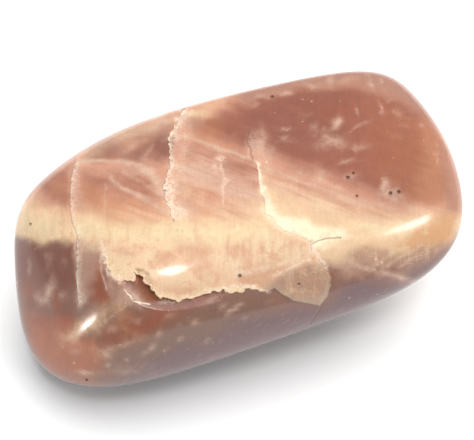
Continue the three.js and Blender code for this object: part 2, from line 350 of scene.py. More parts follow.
# Large zones: softness, strength, outline.
ZONES = {
    "rust": [
        (0.89, 1.0, [(-1.1, 7.8), (1.9, 9.0), (4.7, 9.6), (8.4, 9.9), (11.7, 9.1), (13.6, 7.8),
         (14.6, 5.3), (14.6, 2.1), (13.8, 1.0), (12.6, 0.8), (11.1, 1.0), (8.8, 1.6), (6.2, 2.7),
         (3.8, 3.5), (2.4, 4.4), (1.5, 5.3), (0.2, 4.9), (-1.1, 5.5), (-2.0, 6.5)]),
        (0.52, 0.55, [(-0.8, 4.1), (0.8, 3.8), (1.5, 2.8), (1.8, 1.7), (0.2, 2.2), (-1.1, 3.1)]),
        (0.52, 0.75, [(-14.4, 2.0), (-13.3, 3.2), (-12.1, 3.6), (-11.8, 1.3), (-12.0, 0.3),
         (-13.3, 0.8)]),
        (0.67, 0.7, [(-11.0, 3.1), (-7.3, 3.0), (-5.9, 2.3), (-5.5, 1.2), (-6.4, 1.0), (-9.0, 1.7),
         (-10.7, 1.4)]),
        (0.45, 0.7, [(-10.5, 4.2), (-10.3, 4.9), (-9.2, 5.5), (-7.8, 5.1), (-7.4, 4.3), (-9.0, 4.0)]),
        (0.52, 0.6, [(-3.9, 7.2), (-1.6, 7.0), (-0.8, 5.5), (-2.4, 5.6), (-3.7, 6.2)]),
        (0.37, 0.5, [(-4.0, 5.0), (-1.6, 4.6), (0.6, 3.7), (0.6, 3.2), (-1.6, 3.8), (-3.9, 4.3)]),
    ],
    "umber": [
        (0.45, 0.8, [(-8.1, 4.2), (-7.5, 5.0), (-6.6, 5.6), (-5.6, 6.0), (-4.8, 5.7), (-4.7, 3.9),
         (-6.1, 3.7), (-7.4, 3.9)]),
        (0.37, 0.6, [(-6.2, 5.5), (-4.8, 5.7), (-4.7, 4.1), (-5.8, 4.2)]),
        (1.04, 0.45, [(0.2, 7.6), (3.9, 8.7), (8.0, 9.1), (7.8, 6.2), (5.2, 4.3), (1.8, 4.7),
         (0.5, 6.1)]),
    ],
    "amber": [
        (0.59, 0.5, [(-9.2, 1.7), (-7.1, 1.2), (-5.1, 0.3), (-5.1, -0.4), (-9.1, -0.4)]),
        (0.45, 0.45, [(-7.2, 2.8), (-5.6, 2.5), (-5.2, 1.1), (-6.2, 1.2)]),
        (1.34, 0.45, [(10.1, 8.5), (13.0, 7.9), (14.2, 5.5), (14.3, 1.4), (11.8, 1.0), (9.5, 3.1)]),
        (0.45, 0.4, [(-3.4, 7.0), (-1.8, 6.9), (-1.1, 5.8), (-2.3, 5.5), (-3.3, 5.9)]),
        (0.37, 0.9, [(10.9, -2.0), (12.9, -1.1), (15.3, 0.0), (15.7, -1.1), (13.8, -2.1), (11.8, -2.7)]),
    ],
    "rose": [
        (0.74, 0.35, [(-4.1, 5.0), (-1.6, 4.6), (1.8, 2.2), (1.7, 0.3), (-0.5, 0.0), (-4.0, 0.7)]),
        (0.74, 0.35, [(1.9, 3.4), (6.5, 1.8), (11.5, 0.4), (13.8, 0.0), (11.5, -0.4), (6.5, 0.1),
         (2.2, 1.1)]),
        (0.3, 0.5, [(-7.7, -3.4), (-7.0, -3.5), (-6.8, -4.4), (-7.2, -4.4), (-7.8, -4.1)]),
    ],
    "strip": [
        (0.67, 0.85, [(-0.1, 9.3), (4.7, 10.5), (8.5, 11.3), (11.9, 10.8), (13.6, 9.2), (15.3, 6.0),
         (14.5, 6.4), (12.9, 7.9), (11.4, 9.1), (8.4, 9.9), (4.7, 9.6), (0.8, 8.5)]),
        (0.45, 0.55, [(14.7, 5.6), (15.9, 4.2), (16.7, 1.2), (16.2, -0.7), (15.2, -0.6), (14.6, 1.9)]),
        (0.45, 0.7, [(-10.5, 4.3), (-9.7, 5.3), (-8.5, 6.2), (-6.8, 6.8), (-4.8, 7.0), (-4.7, 5.8),
         (-6.4, 6.0), (-7.6, 5.4), (-8.9, 4.8), (-9.9, 4.0)]),
    ],
    # Brighter parts of the cream band: painted sheen.
    "bright": [
        (0.67, 0.75, [(-11.7, -0.4), (-9.1, -0.6), (-6.0, -0.7), (-0.8, -0.7), (1.7, -0.4), (2.2, -1.5),
         (-0.5, -1.8), (-3.9, -1.7), (-8.7, -1.5), (-11.6, -1.4)]),
        (0.59, 0.45, [(-15.7, 0.5), (-12.4, 0.1), (-11.5, -0.4), (-11.5, -1.1), (-13.9, -1.4),
         (-15.4, -0.9)]),
    ],
    # The brightest painted sheen, below the right crack.
    "glow": [
        (0.45, 1.0, [(1.7, 0.5), (2.4, 0.1), (3.7, -0.2), (5.4, -0.6), (7.5, -0.9), (7.9, -1.3),
         (6.9, -1.5), (5.6, -1.7), (4.8, -1.7), (4.1, -1.3), (3.4, -1.0), (2.7, -0.4)]),
    ],
    "dusk": [
        (0.59, 0.75, [(-4.2, -1.9), (-2.2, -1.6), (-1.4, -2.1), (-2.1, -2.9), (-3.5, -3.1),
         (-4.1, -2.6)]),
        (0.45, 0.5, [(-1.0, -1.9), (0.2, -1.7), (0.9, -2.7), (-0.3, -3.3)]),
        (0.59, 0.75, [(-5.3, -4.6), (-1.5, -4.4), (-1.0, -4.9), (-3.2, -5.3), (-5.2, -5.2)]),
        (0.45, 0.45, [(-8.7, -2.2), (-6.6, -2.1), (-6.2, -2.5), (-7.3, -2.9), (-8.3, -2.7)]),
        (0.45, 0.55, [(-5.5, -2.3), (-4.4, -2.5), (-4.7, -3.3), (-5.8, -3.0)]),
        (0.59, 0.4, [(-2.8, -3.5), (-0.6, -3.3), (-0.3, -4.4), (-2.2, -4.5)]),
        (0.59, 0.6, [(0.6, -3.3), (2.6, -2.8), (4.8, -2.4), (5.1, -2.9), (3.7, -3.4), (2.4, -4.8),
         (0.5, -4.9), (-0.2, -4.1)]),
        (0.52, 0.8, [(0.5, -3.6), (2.6, -3.2), (3.3, -3.6), (2.7, -5.0), (1.3, -5.2), (0.4, -4.7)]),
        (0.52, 0.55, [(-13.3, 0.9), (-11.6, 0.6), (-11.1, -0.6), (-12.2, -1.0), (-13.2, -0.2)]),
        (0.37, 0.3, [(-15.5, 1.6), (-13.4, 1.1), (-13.2, 0.4), (-15.2, 0.7)]),
    ],
    "facet": [
        (0.59, 1.0, [(-15.7, -2.1), (-13.5, -2.2), (-11.1, -2.2), (-11.1, -5.8), (-11.5, -7.1),
         (-13.6, -7.5), (-15.5, -6.7), (-16.2, -4.3)]),
    ],
    "facet_top": [
        (0.59, 0.85, [(-16.3, -2.4), (-13.5, -2.3), (-11.2, -2.4), (-11.1, -4.2), (-12.4, -5.2),
         (-14.1, -4.8), (-16.2, -5.0)]),
    ],
    "russet": [
        (0.89, 0.75, [(-9.6, -8.4), (-8.1, -7.1), (-7.0, -6.4), (-5.2, -6.5), (-3.3, -6.6), (-4.1, -7.4),
         (-6.3, -8.1), (-8.0, -9.0), (-10.1, -9.5)]),
        (0.45, 0.8, [(-10.5, -3.6), (-9.4, -3.2), (-9.0, -4.7), (-8.9, -5.9), (-9.5, -6.5),
         (-10.4, -5.7)]),
        (0.67, 0.75, [(-14.8, -7.3), (-11.6, -7.0), (-10.6, -7.9), (-11.2, -9.0), (-13.6, -9.3),
         (-14.7, -8.5)]),
    ],
    "clay": [
        (0.82, 0.9, [(-15.0, -7.9), (-12.4, -7.5), (-10.5, -8.3), (-9.1, -9.4), (-8.7, -10.9),
         (-10.4, -11.9), (-13.5, -11.5), (-14.7, -10.2)]),
    ],
    "mauve": [
        (0.74, 1.0, [(-6.0, -9.7), (-2.5, -8.1), (1.6, -6.6), (4.4, -6.3), (6.5, -5.9), (7.1, -5.3),
         (7.6, -4.8), (8.8, -4.7), (10.5, -4.8), (11.9, -4.5), (13.6, -3.6), (16.2, -2.6), (15.4, -3.3),
         (11.8, -6.1), (4.5, -9.3), (-2.6, -11.7), (-8.3, -12.9), (-9.0, -11.9)]),
    ],
    "moss": [
        (1.26, 0.7, [(-8.4, -9.0), (-4.9, -7.8), (-1.5, -6.0), (1.7, -5.7), (2.3, -6.2), (0.2, -7.3),
         (-2.9, -8.6), (-6.0, -10.1), (-8.2, -11.2), (-10.0, -11.6)]),
    ],
    "bloom": [
        (0.45, 0.85, [(7.9, -2.5), (9.5, -2.2), (11.5, -2.4), (14.6, -1.7), (15.4, -2.0), (13.7, -3.1),
         (11.5, -3.8), (9.0, -3.5), (7.7, -3.1)]),
    ],
    "haze": [
        (0.3, 0.85, [(-10.9, -1.5), (-10.3, -1.8), (-10.1, -3.7), (-10.4, -6.0), (-10.9, -6.4),
         (-10.9, -4.4)]),
        (0.3, 0.8, [(-9.1, -3.4), (-8.5, -4.6), (-7.5, -4.9), (-7.1, -5.7), (-7.7, -6.1), (-8.5, -6.4),
         (-9.0, -5.8)]),
        (0.52, 0.5, [(-10.3, -1.9), (-9.0, -1.8), (-8.8, -2.8), (-9.7, -3.3)]),
        (0.37, 0.5, [(-11.9, 3.6), (-11.3, 3.6), (-10.8, 0.1), (-11.4, 0.1)]),
        (0.37, 0.7, [(7.3, -3.5), (8.8, -3.6), (8.6, -4.5), (7.5, -4.3)]),
        (0.3, 0.8, [(-11.0, -2.1), (-10.0, -2.4), (-9.7, -3.7), (-10.0, -5.5), (-10.9, -6.1)]),
        (0.37, 0.5, [(-10.1, -2.5), (-9.1, -2.8), (-9.2, -3.4), (-9.9, -3.6)]),
    ],
    # Painted shadow that the layer's edge casts into the notch below it.
    "ember_and_shadow": [
        (0.12, 1.0, [(-7.0, -3.7), (-6.6, -3.8), (-6.1, -4.0), (-5.9, -4.6), (-5.7, -4.9), (-5.4, -5.4),
         (-5.0, -5.8), (-5.7, -5.7), (-6.2, -5.2), (-6.6, -4.8), (-6.9, -4.4)]),
        (0.26, 0.8, [(-7.2, -4.6), (-6.8, -4.3), (-6.2, -4.3), (-5.7, -5.2), (-5.3, -5.8), (-5.9, -5.9),
         (-6.6, -5.7), (-7.1, -5.2)]),
    ],
    "streaky": [
        (0.89, 1.0, [(-4.5, 4.6), (-1.6, 4.3), (1.8, 3.5), (4.5, 3.2), (7.2, 2.2), (11.5, 0.9),
         (13.9, 0.4), (11.5, -0.2), (6.5, 0.3), (2.2, 1.0), (1.7, 0.1), (-0.5, 0.0), (-4.2, 0.5)]),
        (0.59, 0.7, [(-9.3, 2.1), (-5.3, 1.7), (-5.2, -0.3), (-8.1, 0.0)]),
    ],
    "comb": [
        (0.45, 1.0, [(-0.9, -1.0), (5.1, -1.5), (4.8, -2.9), (1.7, -3.6), (-0.9, -3.7)]),
        (0.59, 0.35, [(-8.9, -1.7), (-0.7, -1.6), (-0.7, -5.1), (-8.5, -4.5)]),
        (0.45, 0.5, [(-15.7, 0.7), (-11.4, 0.3), (-11.3, -1.7), (-15.6, -1.5)]),
        (0.45, 0.35, [(2.7, -3.7), (4.7, -3.2), (5.9, -3.6), (6.0, -5.9), (3.3, -5.1)]),
        (0.52, 0.5, [(7.5, -2.1), (11.5, -2.4), (14.4, -1.7), (13.7, -3.3), (9.3, -3.6), (7.9, -3.2)]),
    ],
    "honey": [
        (0.45, 0.8, [(10.9, -2.0), (12.5, -1.3), (13.9, -0.8), (15.2, 0.0), (16.2, -0.1), (15.7, -1.3),
         (14.0, -2.2), (12.1, -2.6)]),
        (0.37, 0.6, [(12.9, -1.5), (14.4, -0.9), (14.9, -1.4), (13.7, -2.1)]),
    ],
    "copper": [
        (0.52, 0.9, [(-11.0, 2.0), (-10.3, 2.4), (-9.4, 1.8), (-9.2, 0.0), (-10.8, 0.0)]),
        (0.82, 0.85, [(13.3, 7.0), (14.6, 5.3), (15.1, 3.3), (14.9, 1.3), (13.9, 0.6), (12.5, 0.9),
         (12.8, 2.8), (13.4, 4.7)]),
        (0.59, 0.5, [(-13.8, 2.1), (-12.9, 2.9), (-12.1, 2.7), (-12.1, 1.4), (-13.2, 1.3)]),
        (0.45, 0.55, [(-4.0, 5.3), (-1.8, 4.9), (-1.5, 3.7), (-3.4, 4.0)]),
        (0.52, 0.6, [(-2.8, 6.2), (-0.5, 5.3), (-0.4, 4.6), (-2.4, 4.7), (-3.0, 5.5)]),
        (0.37, 0.6, [(-3.4, 4.4), (-1.6, 4.1), (-1.1, 3.3), (-2.6, 3.5)]),
    ],
    "orange": [
        (0.59, 0.8, [(-9.2, 1.2), (-7.1, 1.0), (-5.2, 0.3), (-5.0, -0.6), (-9.1, -0.6)]),
        (0.52, 0.75, [(-3.4, 2.2), (-1.6, 2.0), (-1.3, 0.7), (-3.1, 0.8)]),
        (0.45, 0.6, [(-3.3, 0.5), (-1.2, 0.4), (-1.0, -0.2), (-3.2, -0.1)]),
    ],
    # More painted sheen along the cream band.
    "gleam": [
        (0.52, 0.9, [(-16.2, 0.8), (-14.9, 1.3), (-13.6, 0.7), (-11.5, -0.2), (-11.0, -1.4),
         (-13.1, -1.6), (-15.2, -1.2), (-16.2, -0.5)]),
        (0.45, 0.5, [(7.5, 0.0), (11.5, -0.4), (12.3, -1.0), (11.5, -1.5), (8.6, -1.7), (7.5, -1.1)]),
        (0.52, 0.3, [(-4.3, 2.5), (-2.6, 2.1), (-2.6, 0.8), (-4.2, 1.1)]),
    ],
    "tongue": [
        (0.42, 1.0, [(2.2, -5.0), (2.7, -4.2), (3.6, -3.6), (4.9, -3.2), (5.8, -3.2), (7.2, -4.7),
         (6.6, -6.8), (4.6, -6.8), (3.0, -6.2)]),
    ],
}

# Small soft patches: right, up, half length, half width, turn in degrees, strength.
PATCHES = {
    # Cream clouds high on the top, and spots of the band's painted sheen lower down.
    "cream": [
        (-3.3, 7.3, 1.3, 0.4, 16, 0.8), (-1.9, 8.3, 1.0, 0.3, 14, 0.45), (-7.8, 6.0, 2.2, 0.4, 26, 0.45),
        (-10.2, 4.5, 1.0, 0.4, 40, 0.4), (-0.3, -4.5, 1.2, 0.4, 10, 0.35), (-4.2, -0.4, 0.6, 0.6, 0, 0.5),
    ],
    # Spots of painted sheen, most in the cream band and on the layer below it.
    "bright": [
        (-0.3, -3.1, 0.4, 0.3, 40, 0.6), (-2.2, -1.2, 2.2, 0.4, 0, 0.35), (-6.0, -1.4, 2.2, 0.3, 0, 0.3),
        (-7.4, -2.9, 0.4, 0.4, 30, 0.5), (-5.9, -2.9, 0.4, 0.4, 30, 0.6), (-4.6, -2.1, 0.7, 0.2, 0, 0.4),
        (-8.1, -3.6, 0.3, 0.5, -60, 0.45), (-4.1, -4.1, 1.2, 0.4, 0, 0.3),
        (-2.0, -2.5, 0.6, 0.2, 10, 0.4), (-6.0, -2.6, 0.3, 0.4, 90, 0.8),
        (-6.6, -3.7, 0.5, 0.2, -30, 0.9), (-8.5, -3.2, 0.7, 0.2, 100, 0.6),
        (-7.4, -2.9, 0.3, 0.4, 30, 0.4), (-7.9, -3.8, 0.4, 0.3, 0, 0.5), (-4.7, -2.3, 0.7, 0.3, 20, 0.5),
        (-2.8, -4.9, 1.0, 0.2, 0, 0.4), (-1.3, -2.9, 0.4, 0.3, 0, 0.5), (-3.5, -1.4, 1.2, 0.3, 0, 0.4),
        (-13.9, -0.9, 1.0, 0.3, 5, 0.5), (10.0, -0.9, 1.9, 0.4, -6, 0.8), (5.7, 0.9, 1.6, 0.4, -18, 0.45),
        (-5.7, 7.2, 0.7, 0.4, -14, 0.3),
    ],
    # A spot of the brightest painted sheen.
    "glow": [
        (4.4, -1.0, 1.6, 0.4, -22, 0.5),
    ],
    # A painted halo of light round the highlight at the lower left.
    "highlight_halo": [
        (-10.2, -7.6, 1.6, 0.5, 42, 0.85), (-11.1, -8.4, 0.9, 0.4, 30, 0.4),
    ],
    "pale": [
        (7.0, 5.4, 0.7, 0.5, -30, 0.6), (6.1, 5.0, 0.6, 0.4, 10, 0.35), (5.7, 6.4, 0.3, 0.6, -20, 0.3),
        (7.5, 7.0, 0.3, 0.4, 30, 0.75), (7.3, 6.6, 0.4, 0.2, 30, 0.4), (6.6, 6.7, 0.2, 0.2, 0, 0.3),
        (8.9, 7.4, 0.1, 0.4, 0, 0.6), (8.9, 6.2, 0.1, 0.7, -60, 0.35), (8.6, 4.9, 0.2, 0.8, -80, 0.4),
        (3.5, 6.2, 0.1, 0.6, 90, 0.55), (3.4, 5.5, 0.2, 0.4, 90, 0.25), (1.4, 5.3, 0.4, 0.8, 0, 0.55),
        (2.1, 4.4, 0.5, 0.7, -40, 0.35), (6.1, 2.7, 0.4, 0.4, 0, 0.4), (7.7, 3.7, 0.1, 0.7, 110, 0.45),
        (8.1, 2.7, 0.3, 0.6, 110, 0.3), (10.4, 2.1, 0.3, 0.7, -20, 0.6), (10.9, 1.7, 0.6, 0.4, 0, 0.7),
        (11.4, 1.3, 0.5, 0.4, -30, 0.5), (10.0, 9.8, 0.1, 0.8, 28, 0.55), (10.8, 9.8, 0.1, 0.6, 30, 0.3),
        (10.5, 7.7, 0.1, 0.5, 0, 0.5), (11.6, 7.5, 0.3, 0.3, 0, 0.4), (11.4, 8.7, 0.3, 0.1, 0, 0.35),
        (13.4, 6.4, 0.2, 0.2, 30, 0.35), (1.5, 8.1, 0.4, 0.2, 0, 0.35), (3.6, 9.0, 0.3, 0.2, 0, 0.55),
        (2.3, 8.9, 0.7, 0.2, 14, 0.4), (6.9, 10.2, 0.3, 0.4, 0, 0.5), (5.3, 9.8, 0.7, 0.2, 10, 0.45),
        (8.3, 10.1, 0.6, 0.2, 0, 0.3), (-7.2, 6.8, 1.3, 0.4, 22, 0.45), (-5.7, 6.9, 1.0, 0.4, 14, 0.65),
        (-9.4, 5.4, 0.9, 0.3, 30, 0.3), (-7.9, 4.8, 0.3, 0.6, -60, 0.2), (-6.6, 4.7, 0.7, 0.2, 60, 0.25),
        (-6.2, 2.8, 1.0, 0.4, -35, 0.4), (-3.5, 0.5, 0.7, 0.4, 0, 0.3), (-14.6, -3.7, 0.2, 0.4, 0, 0.4),
        (-13.1, -5.2, 0.4, 0.7, -15, 0.95), (-13.7, -5.8, 0.4, 0.4, 0, 0.5),
        (-14.4, -7.1, 0.4, 0.4, 0, 0.1), (-15.3, -6.1, 0.2, 0.7, 0, 0.1), (-13.1, -3.3, 0.3, 0.4, 0, 0.2),
        (-9.1, -9.4, 0.4, 0.4, 0, 0.6), (-11.0, -9.8, 0.4, 0.3, 0, 0.35),
        (-8.0, -8.6, 1.2, 0.3, 20, 0.25), (-0.8, -6.2, 0.4, 0.2, 35, 0.6),
        (-0.2, -6.6, 0.6, 0.2, 35, 0.6), (0.4, -6.2, 0.3, 0.1, 35, 0.4), (-2.8, -7.3, 0.3, 0.2, 0, 0.45),
        (-1.7, -5.7, 0.5, 0.2, 30, 0.45), (-3.9, -7.7, 0.3, 0.1, 30, 0.35),
        (-5.0, -9.4, 0.2, 0.1, 30, 0.5), (-7.5, -10.0, 0.2, 0.1, 30, 0.4),
        (-7.1, -10.9, 1.6, 0.5, 0, 0.2), (-10.5, -11.3, 0.9, 0.2, 8, 0.7),
        (-12.4, -8.4, 0.7, 0.5, 0, 0.1), (-11.3, -8.7, 0.9, 0.4, 30, 0.1),
        (0.9, -7.1, 0.4, 0.1, 30, 0.35), (2.3, -5.8, 0.2, 0.1, 30, 0.4), (-2.3, -8.4, 0.3, 0.1, 30, 0.3),
        (-4.0, -8.7, 0.3, 0.1, 40, 0.35), (-8.7, -10.4, 0.3, 0.2, 30, 0.4),
        (-9.8, -10.2, 0.3, 0.1, 20, 0.3), (-8.7, -7.8, 0.3, 0.2, 30, 0.3),
        (6.9, -3.2, 0.7, 0.4, 30, 0.35), (7.5, -3.6, 0.4, 0.2, 0, 0.35), (-13.1, -2.8, 0.4, 0.3, 0, 0.25),
        (-11.9, -3.2, 0.3, 0.4, 0, 0.25), (-3.3, 3.4, 1.2, 0.4, -12, 0.35),
        (-2.2, 2.8, 1.0, 0.4, -16, 0.4), (-3.9, 1.8, 0.9, 0.4, -20, 0.75),
        (-2.9, 3.1, 1.0, 0.3, -18, 0.8), (-1.0, 2.4, 1.2, 0.4, -20, 0.7), (0.6, 1.7, 0.9, 0.4, -18, 0.5),
        (-3.7, 0.4, 0.6, 0.5, 0, 0.5), (-6.2, -9.1, 0.5, 0.2, 48, 0.45), (-5.4, -8.1, 0.3, 0.2, 45, 0.35),
        (-7.1, -7.0, 0.3, 0.2, 30, 0.25), (-4.4, -7.0, 0.4, 0.2, 20, 0.25),
        (-5.7, 7.3, 0.8, 0.4, -14, 0.35), (-7.2, -5.7, 0.7, 0.4, -35, 0.35),
    ],
    "dusk": [
        (-3.2, -2.3, 1.0, 0.4, 0, 0.3), (1.6, -2.3, 0.4, 0.6, 0, 0.4), (-7.7, -2.3, 0.7, 0.3, -20, 0.7),
        (-4.9, -3.0, 0.7, 0.4, 0, 0.5), (-2.2, -3.1, 0.6, 0.3, 20, 0.4), (-0.5, -2.3, 0.4, 0.5, 90, 0.5),
        (-6.6, -2.1, 0.7, 0.2, 0, 0.35), (-3.9, -5.7, 1.3, 0.2, 0, 0.35),
    ],
    "frost": [
        (-4.5, 6.9, 0.2, 0.3, 20, 0.9), (-4.0, 7.5, 0.2, 0.2, 20, 0.9), (-4.8, 5.5, 0.2, 0.5, 90, 0.7),
        (-4.5, 2.0, 0.7, 0.4, 90, 0.9), (-4.5, 0.8, 0.7, 0.4, 90, 0.95), (-4.1, 0.1, 0.6, 0.4, -40, 0.9),
        (-3.8, 4.6, 2.2, 0.4, 90, 0.3), (-1.1, 4.0, 0.2, 0.2, 0, 0.9), (-1.3, 3.3, 0.1, 0.2, 0, 0.7),
        (-0.8, 2.2, 0.2, 0.1, 0, 0.6), (-0.3, -3.1, 0.4, 0.2, 60, 0.6), (1.2, 4.7, 0.4, 0.3, 90, 0.4),
        (0.9, 5.5, 0.6, 0.3, 90, 0.35), (-11.9, -5.6, 0.4, 0.3, 0, 0.3), (-10.7, -5.8, 0.6, 0.3, 90, 0.5),
        (-11.3, 3.3, 1.5, 0.2, 90, 0.35), (12.1, -3.3, 0.2, 0.1, 30, 0.5),
        (-10.0, -2.1, 0.7, 0.3, 0, 0.3),
    ],
    "russet": [
        (-14.8, -5.5, 0.7, 1.1, 0, 0.6), (-12.4, -5.9, 0.4, 0.7, 0, 0.45),
        (-14.5, -7.6, 1.0, 1.0, 0, 0.55), (-12.3, -9.1, 1.2, 0.8, 20, 0.5),
        (-11.3, -8.0, 0.6, 0.4, 0, 0.5), (7.1, 7.6, 1.9, 0.7, 0, 0.3), (10.2, 4.7, 1.5, 1.6, 0, 0.2),
    ],
    "honey": [
        (-8.5, -6.6, 1.0, 0.5, -10, 0.35), (-7.8, -7.8, 1.0, 0.4, -15, 0.25),
        (-9.5, -9.3, 1.3, 0.6, -10, 0.2),
    ],
    "haze": [
        (-8.3, 4.8, 0.9, 0.6, -10, 0.15), (-7.2, 3.6, 0.9, 0.6, 0, 0.5), (-3.7, 6.8, 0.9, 0.6, -20, 0.55),
        (-8.5, 3.2, 2.5, 0.3, 0, 0.35), (-1.1, 4.3, 1.6, 0.6, 0, 0.25), (-5.2, 2.4, 0.5, 0.7, 0, 0.35),
        (4.6, 3.2, 1.3, 0.4, -18, 0.35), (10.4, -4.2, 2.7, 0.4, -16, 0.6), (7.6, -4.0, 0.9, 0.5, 0, 0.4),
        (12.7, -3.7, 1.2, 0.4, 25, 0.5), (9.5, -3.4, 1.6, 0.4, -10, 0.25),
    ],
    "facet": [
        (-8.8, 4.7, 1.3, 0.5, -22, 0.45), (-6.3, 5.7, 1.1, 0.5, -18, 0.5),
        (-10.0, 4.1, 0.6, 0.4, -30, 0.3),
    ],
    "milk_and_glint": [
        (-7.2, -5.7, 0.6, 0.4, -35, 0.3),
    ],
}

